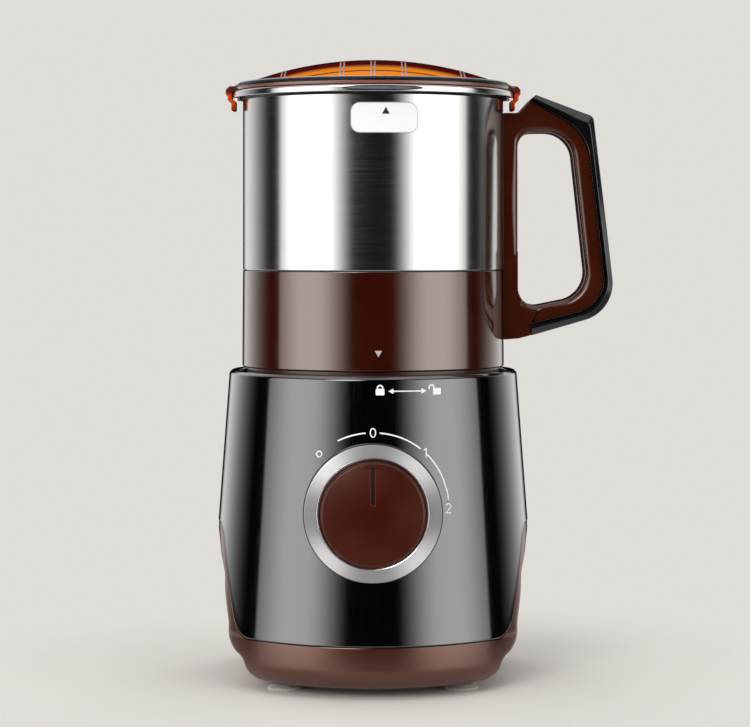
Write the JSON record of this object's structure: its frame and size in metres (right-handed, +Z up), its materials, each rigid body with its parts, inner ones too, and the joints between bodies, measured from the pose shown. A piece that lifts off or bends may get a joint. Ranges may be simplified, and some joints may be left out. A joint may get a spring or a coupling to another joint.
{
  "type": "electric grain mill",
  "caption": "Upright grain mill: tapered motor base with a front dial, lift-off stainless cup with blades and a loop handle, domed amber lid with hooks.",
  "frame": {"origin": "on the mill's axis in the plane that its four feet stand on", "axes": "+Z up along the axis of cup and motor, -Y out through the dial at the front, +X out through the cup's handle"},
  "size_m": [0.1821, 0.1599, 0.2832],
  "materials": {
    "gloss_black": "high gloss black ABS",
    "black_plastic": "fine texture",
    "grip_black": "high gloss black",
    "brown_plastic": "satin gloss dark brown",
    "dark_nylon": "moulded nylon",
    "white_nylon": "moulded nylon",
    "pale_silicone": "soft silicone",
    "rubber": "soft rubber",
    "silver_trim": "brushed silver",
    "stainless": "polished stainless steel",
    "amber_clear": "clear amber with a dark red edge",
    "zinc_steel": "zinc plated",
    "bright_steel": "ground",
    "cast_alloy": "cast",
    "lamination_steel": "stacked sheet",
    "copper": "enamelled wire",
    "brass": "pressed",
    "bronze": "sintered",
    "carbon": "pressed carbon",
    "board_green": "resist over laminate"
  },
  "bodies": {
    "host": {"host_housing": "gloss_black", "base_skirt": "brown_plastic", "bottom_plate": "black_plastic", "bottom_screws": "zinc_steel", "suction_feet": "pale_silicone", "cord_gland": "black_plastic", "dial_bezel": "silver_trim", "cup_socket": "black_plastic", "switch_body": "black_plastic", "switch_nut": "zinc_steel", "circuit_board": "board_green", "board_components": "white_nylon", "microswitch": "black_plastic", "interlock_spring": "zinc_steel", "upper_motor_bracket": "cast_alloy", "lower_motor_bracket": "cast_alloy", "motor_bearings": "bright_steel", "motor_dampers": "rubber", "stator_core": "lamination_steel", "field_windings": "copper", "carbon_brushes": "carbon", "brush_holders": "brass"},
    "dial": {"switch_knob": "brown_plastic", "selector_shaft": "bright_steel"},
    "rotor": {"motor_shaft": "bright_steel", "armature_core": "lamination_steel", "armature_windings": "copper", "commutator": "copper", "cooling_fan": "dark_nylon", "drive_coupling": "dark_nylon"},
    "interlock": {"interlock_pin": "white_nylon"},
    "seat": {"cup_seat_ring": "dark_nylon"},
    "cup": {"grinding_cup": "stainless", "cup_collar": "brown_plastic", "collar_base_plate": "dark_nylon", "collar_screws": "zinc_steel", "cup_handle": "brown_plastic", "handle_grip": "grip_black", "handle_screws": "zinc_steel", "bearing_housing": "cast_alloy", "blade_bearings": "bronze", "bearing_nut": "stainless", "floor_gasket": "pale_silicone"},
    "blades": {"blade_shaft": "bright_steel", "lower_blade": "stainless", "upper_blade": "stainless", "blade_spacer": "stainless", "blade_nut": "stainless", "driven_coupling": "dark_nylon"},
    "seal": {"lid_seal": "pale_silicone"},
    "lid": {"sealing_lid": "amber_clear"}
  },
  "joints": [
    {"name": "knob_turn", "type": "hinge", "parent": "host", "child": "dial", "pos_m": [0, -0.079, 0.0812], "axis": [0, 1, 0], "range_deg": [-45, 86]},
    {"name": "motor_spin", "type": "hinge", "parent": "host", "child": "rotor", "pos_m": [0, 0, 0.076], "axis": [0, 0, 1], "continuous": true},
    {"name": "cup_twist", "type": "hinge", "parent": "host", "child": "seat", "pos_m": [0, 0, 0.13], "axis": [0, 0, 1], "range_deg": [0, 22.5]},
    {"name": "interlock_travel", "type": "slide", "parent": "host", "child": "interlock", "axis": [0, 0, 1], "range_m": [0, 0.003], "deforming": ["interlock_spring"]},
    {"name": "cup_lift", "type": "slide", "parent": "seat", "child": "cup", "axis": [0, 0, 1], "range_m": [0, 0.08]},
    {"name": "blade_spin", "type": "hinge", "parent": "cup", "child": "blades", "pos_m": [0, 0, 0.18], "axis": [0, 0, 1], "continuous": true},
    {"name": "lid_lift", "type": "slide", "parent": "cup", "child": "seal", "axis": [0, 0, 1], "range_m": [0, 0.06]},
    {"name": "lid_twist", "type": "hinge", "parent": "seal", "child": "lid", "pos_m": [0, 0, 0.27], "axis": [0, 0, -1], "range_deg": [0, 30]}
  ],
  "couplings": [
    {"joint": "blade_spin", "follows": "motor_spin", "ratio": 1},
    {"joint": "interlock_travel", "follows": "cup_twist", "m_per_rad": 0.007639}
  ]
}
